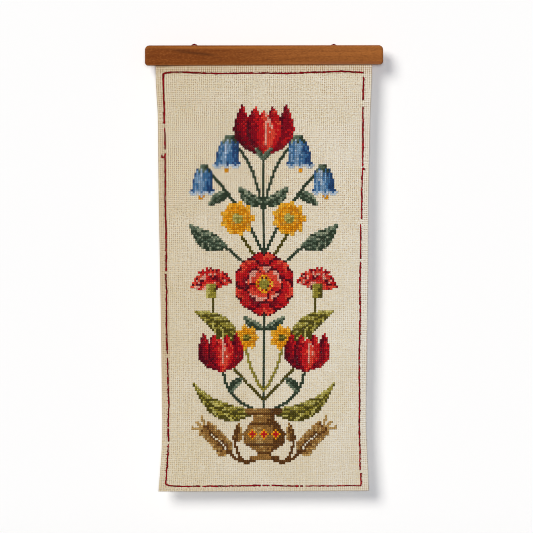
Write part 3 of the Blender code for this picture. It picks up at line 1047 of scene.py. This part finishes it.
def bar_body():
    """The bar without its cuts: outlines from its back to its front, joined in turn."""
    outlines = [
        bar_outline(BAR_HIGH.y, BAR_BACK_CHAMFER, BAR_BACK_CHAMFER, BAR_BACK_CHAMFER),
        bar_outline(BAR_HIGH.y - BAR_BACK_CHAMFER),
    ]
    for step in range(ROUNDING_SEGMENTS + 1):
        turn = math.pi / 2 * step / ROUNDING_SEGMENTS
        y = BAR_LOW.y + ROUNDING_DEPTH * (1 - math.sin(turn))
        share = 1 - math.cos(turn)
        outlines.append(bar_outline(
            y, ROUNDING_AT_ENDS * share, ROUNDING_AT_TOP * share, ROUNDING_AT_FOOT * share,
        ))
    bm = bmesh.new()
    rings = [[bm.verts.new(point) for point in outline] for outline in outlines]
    for ring, following in zip(rings, rings[1:]):
        for number in range(len(ring)):
            bm.faces.new((ring[number - 1], ring[number], following[number], following[number - 1]))
    bm.faces.new(rings[0])
    bm.faces.new(rings[-1])
    bmesh.ops.recalc_face_normals(bm, faces=bm.faces)
    return object_from_bmesh("hanger_bar_wood", bm)


def hanger_bar():
    bar = bar_body()
    height = GROOVE_DEPTH + CUTTER_MARGIN
    middle = (0.0, GROOVE_MIDDLE_Y, BAR_FOOT_Z + GROOVE_DEPTH - height / 2)
    cutters = [cutter("groove_cutter", (GROOVE_LENGTH, GROOVE_WIDTH, height), middle)]
    depth, height = NOTCH_DEPTH + CUTTER_MARGIN, NOTCH_HEIGHT + CUTTER_MARGIN
    for side, x, _ in LOOPS:
        middle = (x, CUTTER_MARGIN - depth / 2, NOTCH_FOOT_Z + height / 2)
        size = (NOTCH_WIDTH, depth, height)
        cutters.append(cutter("notch_cutter_" + side, size, middle, NOTCH_CORNER))
    for tool in cutters:
        boolean = bar.modifiers.new(tool.name, "BOOLEAN")
        boolean.operation = "DIFFERENCE"
        boolean.solver = "EXACT"
        boolean.object = tool
    bpy.context.view_layer.update()
    made = bpy.data.meshes.new_from_object(bar.evaluated_get(bpy.context.evaluated_depsgraph_get()))
    bar.modifiers.clear()
    bar.data = made
    for tool in cutters:
        bpy.data.objects.remove(tool)
    made.materials.clear()
    made.materials.append(wood_material())
    made.shade_smooth()
    made.set_sharp_from_angle(angle=math.radians(SHARP_DEGREES))
    return bar


# Cloth


def in_hem(column, row):
    return (
        (column < HEM_COLUMNS[0]) | (column > HEM_COLUMNS[1])
        | (row < HEM_ROWS[0]) | (row > HEM_ROWS[1])
    )


def toward_viewer(points, distance):
    moved = points.copy()
    moved[..., 1] -= distance
    return moved


def with_hem_steps(lines, edges):
    """The lines of holes, with the two nearest each hem's raw edge drawn close to it."""
    stepped = lines.copy()
    for edge in edges:
        first = np.searchsorted(lines, edge) - 1
        stepped[first:first + 2] = edge - HEM_STEP_SQUARES, edge + HEM_STEP_SQUARES
    return stepped


def corners_of(grid):
    """The four corners of each square of a grid, in turn round it."""
    return grid[:-1, :-1], grid[:-1, 1:], grid[1:, 1:], grid[1:, :-1]


def rim_of(grid):
    """The outer places of a grid, once round it."""
    return np.concatenate([grid[0, :-1], grid[:-1, -1], grid[-1, :0:-1], grid[:0:-1, 0]])


def between_rings(rings):
    """The quads that join each ring of vertex numbers to the next one."""
    near, far = rings[..., :-1, :], rings[..., 1:, :]
    quads = [near, np.roll(near, -1, -1), np.roll(far, -1, -1), far]
    return np.stack(quads, -1).reshape(-1, 4)


def shade_under_stitches():
    """How bright the front is at each corner, then at each middle: less under the crosses."""
    covered = np.zeros((SQUARES_IN_GROOVE + SQUARES_DOWN, SQUARES_ACROSS))
    row = SQUARES_IN_GROOVE + CHART_TOP_SQUARE
    column = (SQUARES_ACROSS - 1) // 2 - CHART_HALF_WIDTH
    covered[row:row + chart.shape[0], column:column + chart.shape[1]] = chart != BLANK
    corners = np.minimum.reduce(corners_of(np.pad(covered, 1)))
    return 1 - (1 - COVERED_SHADE) * np.concatenate([corners.ravel(), covered.ravel()])


def cloth_panel(material):
    """Both faces of the cloth, woven in squares, with a folded edge all round."""
    across = np.arange(SQUARES_ACROSS + 1, dtype=float)
    down = np.arange(-SQUARES_IN_GROOVE, SQUARES_DOWN + 1, dtype=float)
    holes = np.meshgrid(across, down)
    middles = np.meshgrid(across[:-1] + 0.5, down[:-1] + 0.5)
    behind = np.meshgrid(with_hem_steps(across, HEM_COLUMNS), with_hem_steps(down, HEM_ROWS))
    layers = (
        (holes, -np.where(in_hem(*holes), HOLE_DEPTH * HEM_HOLE_SHARE, HOLE_DEPTH)),
        (middles, PILLOW_HEIGHT),
        (behind, -np.where(in_hem(*behind), HEM_THICKNESS, FIELD_THICKNESS)),
    )
    vertices = np.concatenate([
        toward_viewer(square_at(*place), lift).reshape(-1, 3) for place, lift in layers
    ])
    uvs = np.concatenate([np.stack(place, -1).reshape(-1, 2) for place, _ in layers])
    front = np.arange(holes[0].size).reshape(holes[0].shape)
    middle = front.size + np.arange(middles[0].size).reshape(middles[0].shape)
    back = front + front.size + middle.size
    corners = corners_of(front)
    quarters = [
        np.stack([first, middle, second], -1).reshape(-1, 3)
        for first, second in zip(corners, corners[1:] + corners[:1])
    ]
    back_quads = np.stack(corners_of(back)[::-1], -1).reshape(-1, 4)

    front_rim, back_rim = rim_of(front), rim_of(back)
    rim_column, rim_row = rim_of(holes[0]), rim_of(holes[1])
    outward = np.zeros((len(front_rim), 3))
    outward[:, 0] = np.where(rim_column == 0, -1, np.where(rim_column == SQUARES_ACROSS, 1, 0))
    outward[:, 2] = np.where(rim_row == SQUARES_DOWN, -1, 0)
    turn = math.pi * np.arange(1, FOLD_STEPS)[:, None, None] / FOLD_STEPS
    share = (1 - np.cos(turn)) / 2
    folds = vertices[front_rim] * (1 - share) + vertices[back_rim] * share
    folds += outward * FOLD_BULGE * np.sin(turn)
    fold_numbers = len(vertices) + np.arange(folds[..., 0].size).reshape(len(folds), -1)
    vertices = np.concatenate([vertices, folds.reshape(-1, 3)])
    uvs = np.concatenate([uvs] + [uvs[front_rim]] * len(folds))
    rim_quads = between_rings(np.stack([front_rim, *fold_numbers, back_rim]))
    faces = [np.concatenate(quarters), np.concatenate([back_quads, rim_quads])]
    shade = np.ones(len(vertices))
    shade[:front.size + middle.size] = shade_under_stitches()
    cloth = mesh_from_faces("aida_cloth", vertices, faces, "weave", uvs, shade, [material])
    ends = np.empty(len(cloth.data.edges) * 2, np.int32)
    cloth.data.edges.foreach_get("vertices", ends)
    round_front = np.isin(ends, front_rim).reshape(-1, 2).all(axis=1)
    cloth.data.edges.foreach_set("use_edge_sharp", round_front)
    return cloth


# Stitches


def tube_faces(count, steps, sides):
    """The sides and the two ends of tubes whose vertices are numbered ring by ring."""
    rings = np.arange(count * steps * sides).reshape(count, steps, sides)
    ends = np.stack([rings[:, 0, ::-1], rings[:, -1]], axis=1)
    return between_rings(rings), ends.reshape(-1, sides)


def strands(starts, ends, half_width, thickness, lift, up, shape):
    """Closed strands from start to end, arched over the cloth: vertices, sides, ends and UVs."""
    ring, stations, arch, fullness = shape
    count, steps, sides = len(starts), len(stations), len(ring)
    run = ends - starts
    length = np.linalg.norm(run, axis=1, keepdims=True)
    viewer = np.array([0.0, up, 0.0])
    across = np.cross(run / length, viewer)
    across /= np.linalg.norm(across, axis=1, keepdims=True)
    height = arch * np.broadcast_to(lift, (count,))[:, None]
    centre = starts[:, None] + run[:, None] * stations[:, None] + viewer * height[..., None]
    reach = np.broadcast_to(half_width, (count,))[:, None] * fullness
    side = across[:, None, None] * (reach[..., None] * ring[:, 0])[..., None]
    rise = viewer * (ring[:, 1] * thickness)[:, None]
    vertices = centre[:, :, None] + side + rise
    along = stations[:, None] * (length / MM)[..., None] * UV_PER_MM
    uvs = np.stack(np.broadcast_arrays(along, np.arange(sides) / sides), -1)
    return vertices.reshape(-1, 3), *tube_faces(count, steps, sides), uvs.reshape(-1, 2)


def joined(parts):
    """The strands of several parts as one part, with their vertices renumbered."""
    vertices, quads, ends, uvs = zip(*parts)
    shifts = np.concatenate([[0], np.cumsum([len(points) for points in vertices])])
    quads, ends = (
        np.concatenate([faces + shift for faces, shift in zip(groups, shifts)])
        for groups in (quads, ends)
    )
    return np.concatenate(vertices), quads, ends, np.concatenate(uvs)


def cross_stitches(name, threads, materials):
    """One piece: the crosses of some threads, and the short bars that they leave on the back."""
    rng = np.random.default_rng(STITCH_SEED + THREAD[threads[0]])
    numbers = [THREAD[thread] for thread in threads]
    chart_rows, chart_columns = np.nonzero(np.isin(chart, numbers))
    column = chart_columns - CHART_HALF_WIDTH + (SQUARES_ACROSS - 1) // 2
    row = chart_rows + CHART_TOP_SQUARE
    count = len(row)

    def hole(right, low):
        stray = uneven(rng, (count, 2), "stitch_hole")
        return square_at(column + right + stray[:, 0], row + low + stray[:, 1])

    def behind(low):
        return toward_viewer(square_at(column + 0.5, row + low), -FIELD_THICKNESS)

    width = STRAND_HALF_WIDTH * uneven(rng, count, "strand_width")
    lift = uneven(rng, count, "strand_lift")
    parts = [
        strands(
            hole(0, low), hole(1, 1 - low), width, STRAND_THICKNESS, top * lift, -1.0, FLAT_STRAND,
        )
        for low, top in ((1, UNDER_LIFT), (0, OVER_LIFT))
    ]
    width = BACK_HALF_WIDTH * uneven(rng, count, "back_width")
    parts.append(strands(behind(0), behind(1), width, BACK_THICKNESS, BACK_LIFT, 1.0, SHORT_STRAND))
    tint = uneven(rng, count, "strand_tint")[:, None]
    # Each strand's random tone times painted light: shade at its ends and a highlight at its middle
    tints = np.concatenate([
        np.repeat(tint * shade * uneven(rng, (count, len(shade)), "strand_shade"), len(FLAT_RING))
        for shade in (END_SHADE * UNDER_SHADE, END_SHADE, np.full(len(SHORT_STRAND[1]), BACK_SHADE))
    ])
    slots = np.array(numbers).searchsorted(chart[chart_rows, chart_columns])
    slots = np.concatenate([
        np.repeat(slots, len(part[kind]) // count) for kind in (1, 2) for part in parts
    ])
    vertices, quads, ends, uvs = joined(parts)
    return mesh_from_faces(
        name, vertices, [np.concatenate([quads, ends])], "strand", uvs, tints,
        [materials[thread] for thread in threads], slots,
    )


# Border line


def from_photo(pixels):
    """Points on the cloth's front face that show at these pixels of the photograph."""
    pixels = np.array(pixels, float)
    x = CAMERA_X + (pixels[:, 0] - PHOTO_MIDDLE) * PHOTO_M_PER_PX
    z = CAMERA_Z - (pixels[:, 1] - PHOTO_MIDDLE) * PHOTO_M_PER_PX
    drop = BAR_FOOT_Z - z
    left = -level_at(drop, "left_mm")
    share = (x - left) / (level_at(drop, "right_mm") - left)
    return np.stack([x, cloth_at(share, drop)[:, 1], z], -1)


def evenly_along(points, spacing):
    """The ends of the stitches that fill that line, each about spacing long."""
    lengths = np.concatenate([[0], np.cumsum(np.linalg.norm(np.diff(points, axis=0), axis=1))])
    count = max(1, round(lengths[-1] / spacing))
    places = np.linspace(0, lengths[-1], count + 1)
    return np.stack([np.interp(places, lengths, points[:, k]) for k in range(3)], -1)


def border_line(material):
    """The dark red stitching that holds the hems: fat uneven stitches end to end, with knots."""
    rng = np.random.default_rng(BORDER_SEED)
    starts, ends, settings = [], [], []
    for side, full, tone, pixels in BORDER_RUNS:
        marks = evenly_along(from_photo(pixels), BORDER_STITCH)
        starts.append(marks[:-1])
        ends.append(marks[1:])
        settings += [(*BORDER_OUTWARD[side], full, tone)] * (len(marks) - 1)
    starts, ends, settings = np.concatenate(starts), np.concatenate(ends), np.array(settings)
    outward, fullness, tones = settings[:, :3], settings[:, 3], settings[:, 4]
    run, count = ends - starts, len(starts)
    jitter = uneven(rng, (2, count, 3), "border_end")
    jitter[:, :, 1] = 0.0
    overlap = run * BORDER_OVERLAP
    width = BORDER_HALF_WIDTH * fullness * uneven(rng, count, "border_width")
    lift = BORDER_LIFT * uneven(rng, count, "border_lift")
    line = strands(
        starts - overlap + jitter[0], ends + overlap + jitter[1],
        width, BORDER_THICKNESS, lift, -1.0, ROUND_STRAND,
    )
    knotted = rng.random((2, count)) < KNOT_SHARE
    places = rng.uniform(*KNOT_PLACES, (2, count)) + np.array([[0.0], [0.5]])
    feet = starts + run * places[..., None]
    reach = KNOT_REACH * uneven(rng, (2, count), "knot_reach") * fullness
    slant = run * rng.uniform(-KNOT_SLANT, KNOT_SLANT, (2, count))[..., None]
    tips = feet + outward * reach[..., None] + slant
    knots = strands(
        feet[knotted], tips[knotted],
        KNOT_HALF_WIDTH, KNOT_THICKNESS, KNOT_LIFT, -1.0, ROUND_STRAND,
    )
    knot_tones = np.stack([tones, tones])[knotted]
    # Each stitch's tone times BORDER_SHADE, its painted shade and highlight; each knot's tone times
    # KNOT_SHADE
    shades = []
    for tone, shade in ((tones, BORDER_SHADE), (knot_tones, np.full(len(STATIONS), KNOT_SHADE))):
        tone = tone * uneven(rng, len(tone), "border_tone")
        shades.append(np.repeat(tone[:, None] * shade, len(ROUND_RING)))
    vertices, *faces, uvs = joined([line, knots])
    tints = np.concatenate(shades)
    return mesh_from_faces("border_line", vertices, faces, "strand", uvs, tints, [material])


# Yarn loops behind the bar


def hanging_loop(side, centre_x, proud, material):
    """Two plies of yarn twisted round the loop's centreline: up, over the arch and down."""
    arch_z = BAR_HIGH.z + proud - YARN_DIAMETER / 2 - LOOP_ARCH_HEIGHT
    turn = np.linspace(0, math.pi, ARCH_STEPS)
    arch_x = centre_x - np.cos(turn) * LOOP_HALF_WIDTH
    heights = arch_z + np.sin(turn) ** ARCH_POWER * LOOP_ARCH_HEIGHT
    route = np.stack([arch_x, 0 * turn + LOOP_Y, heights], -1)
    feet = np.array([(arch_x[end], LOOP_Y, LOOP_FOOT_Z) for end in (0, -1)])
    route = np.concatenate([feet[:1], route, feet[1:]])
    length = np.linalg.norm(np.diff(route, axis=0), axis=1).sum()
    run = np.linspace(0, length, LOOP_STEPS)
    centre = evenly_along(route, length / (LOOP_STEPS - 1))
    along = np.gradient(centre, axis=0)
    depth = np.array([0.0, 1.0, 0.0])
    outward = np.cross(along / np.linalg.norm(along, axis=1, keepdims=True), depth)
    twist = math.tau * (run / PLY_PITCH + np.array([[0.0], [0.5]]))
    offset = outward * np.cos(twist)[..., None] + depth * np.sin(twist)[..., None]
    middle = centre + offset * (YARN_DIAMETER / 2 - PLY_RADIUS)
    around = np.arange(PLY_SIDES) / PLY_SIDES
    angles = (around * math.tau)[:, None]
    ring = outward[:, None] * np.cos(angles) + depth * np.sin(angles)
    vertices = (middle[:, :, None] + ring * PLY_RADIUS).reshape(-1, 3)
    uvs = np.stack(np.broadcast_arrays((run / MM * UV_PER_MM)[:, None], around), -1)
    return mesh_from_faces(
        "loop_yarn_" + side, vertices, tube_faces(2, LOOP_STEPS, PLY_SIDES), "strand",
        np.tile(uvs.reshape(-1, 2), (2, 1)), np.full(len(vertices), LOOP_SHADE), [material],
    )


# The object


draw_chart()
bar = hanger_bar()
cloth = cloth_panel(aida_material())
thread_materials = {
    name: thread_material(name, linear(*colour)) for name, colour in THREADS.items()
}
border_yarn = thread_material("border", linear(*BORDER_COLOUR), BORDER_SPECULAR)
border = border_line(border_yarn)
stitching = [cross_stitches(*piece, thread_materials) for piece in STITCH_PIECES.items()]
loops = [hanging_loop(side, x, proud, border_yarn) for side, x, proud in LOOPS]

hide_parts("hanger_bar")
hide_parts("cloth_panel")
for loop, (side, _, _) in zip(loops, LOOPS):
    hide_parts("hanging_loop_" + side)
for piece in (bar, cloth, border, *stitching, *loops):
    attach(piece, BODY)


# Stage, lights and camera


def plane(name, location, turn, material):
    bm = bmesh.new()
    bmesh.ops.create_grid(bm, x_segments=1, y_segments=1, size=STAGE_SIZE / 2)
    thing = object_from_bmesh(name, bm)
    thing.data.materials.append(material)
    thing.location = location
    thing.rotation_euler = turn
    return thing


def sun(name, direction, strength, spread_degrees, colour):
    """A lamp whose light travels along direction."""
    lamp = bpy.data.lights.new(name, "SUN")
    lamp.energy = strength
    lamp.angle = math.radians(spread_degrees)
    lamp.color = colour
    thing = add_object(name, lamp)
    thing.rotation_mode = "QUATERNION"
    thing.rotation_quaternion = Vector(direction).to_track_quat("-Z", "Y")
    return thing


upright = (math.radians(90), 0, 0)
wall = plane("wall", (0, WALL_Y, CAMERA_Z), upright, plain_material("wall_paint", True))
wall.visible_shadow = False
floor = plane("floor", (0, 0, FLOOR_Z), (0, 0, 0), plain_material("floor_paint"))
floor.visible_diffuse = False

lamps = {row[0]: sun(*row) for row in SUNS}
lamps["fill_light"].visible_glossy = False
scene = bpy.context.scene
scene.world = bpy.data.worlds.new("studio")
scene.world.use_nodes = True
background = scene.world.node_tree.nodes["Background"]
background.inputs["Color"].default_value = (1.0, 1.0, 1.0, 1.0)
background.inputs["Strength"].default_value = WORLD_STRENGTH
scene.view_settings.view_transform = "Standard"
scene.cycles.filter_width = 1.0

camera_data = bpy.data.cameras.new("camera")
camera_data.sensor_width = SENSOR_MM
camera_data.lens = SENSOR_MM * CAMERA_DISTANCE / (PHOTO_SIDE * PHOTO_M_PER_PX)
camera = add_object("camera", camera_data)
camera.location = (CAMERA_X, CLOTH_FRONT_Y - CAMERA_DISTANCE, CAMERA_Z)
camera.rotation_euler = upright
scene.camera = camera

bpy.context.view_layer.update()
